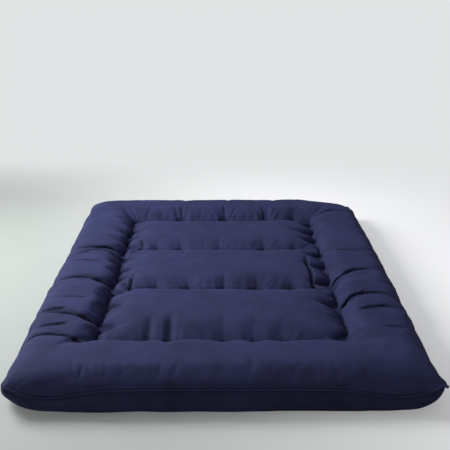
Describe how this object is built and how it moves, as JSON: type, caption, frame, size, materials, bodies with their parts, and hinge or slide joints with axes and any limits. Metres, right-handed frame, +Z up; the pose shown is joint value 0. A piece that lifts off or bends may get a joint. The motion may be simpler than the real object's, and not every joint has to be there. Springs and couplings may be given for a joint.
{
  "type": "futon mattress",
  "caption": "Stuffed floor futon mattress with a fat border roll, stitched centre pillows and a piped edge, which folds in three.",
  "frame": {"origin": "middle of the underside, on the floor", "axes": "+Z up, +Y along the length towards the head end, +X to the right as seen from the foot end"},
  "size_m": [1.5284, 2.0372, 0.165],
  "materials": {
    "cover": "matte",
    "piping": "matte",
    "stitching": "matte",
    "fibre_fill": "matte",
    "lining": "matte",
    "support_pad": "matte",
    "base_wadding": "matte"
  },
  "bodies": {
    "foot_third": {"foot_top_cover": "cover", "foot_bottom_cover": "cover", "foot_edge_piping": "piping", "foot_end_roll_fill": "fibre_fill", "foot_left_roll_fill": "fibre_fill", "foot_right_roll_fill": "fibre_fill", "foot_centre_fill": "fibre_fill", "foot_inner_lining": "lining", "foot_support_pad": "support_pad", "foot_base_wadding": "base_wadding", "foot_border_stitching": "stitching"},
    "middle_third": {"middle_top_cover": "cover", "middle_bottom_cover": "cover", "middle_left_piping": "piping", "middle_right_piping": "piping", "middle_left_roll_fill": "fibre_fill", "middle_right_roll_fill": "fibre_fill", "middle_centre_fill": "fibre_fill", "middle_inner_lining": "lining", "middle_support_pad": "support_pad", "middle_base_wadding": "base_wadding", "middle_left_border_stitching": "stitching", "middle_right_border_stitching": "stitching", "foot_cross_stitching": "stitching", "head_cross_stitching": "stitching"},
    "head_third": {"head_top_cover": "cover", "head_bottom_cover": "cover", "head_edge_piping": "piping", "head_end_roll_fill": "fibre_fill", "head_left_roll_fill": "fibre_fill", "head_right_roll_fill": "fibre_fill", "head_centre_fill": "fibre_fill", "head_inner_lining": "lining", "head_support_pad": "support_pad", "head_base_wadding": "base_wadding", "head_border_stitching": "stitching"}
  },
  "joints": [
    {"name": "foot_fold", "type": "hinge", "parent": "foot_third", "child": "middle_third", "pos_m": [0, -0.33867, 0.1655], "axis": [1, 0, 0], "range_deg": [0, 179]},
    {"name": "head_fold", "type": "hinge", "parent": "middle_third", "child": "head_third", "pos_m": [0, 0.33867, -0.0005], "axis": [1, 0, 0], "range_deg": [-179, 0]}
  ],
  "couplings": [
    {"joint": "head_fold", "follows": "foot_fold", "ratio": -1}
  ]
}
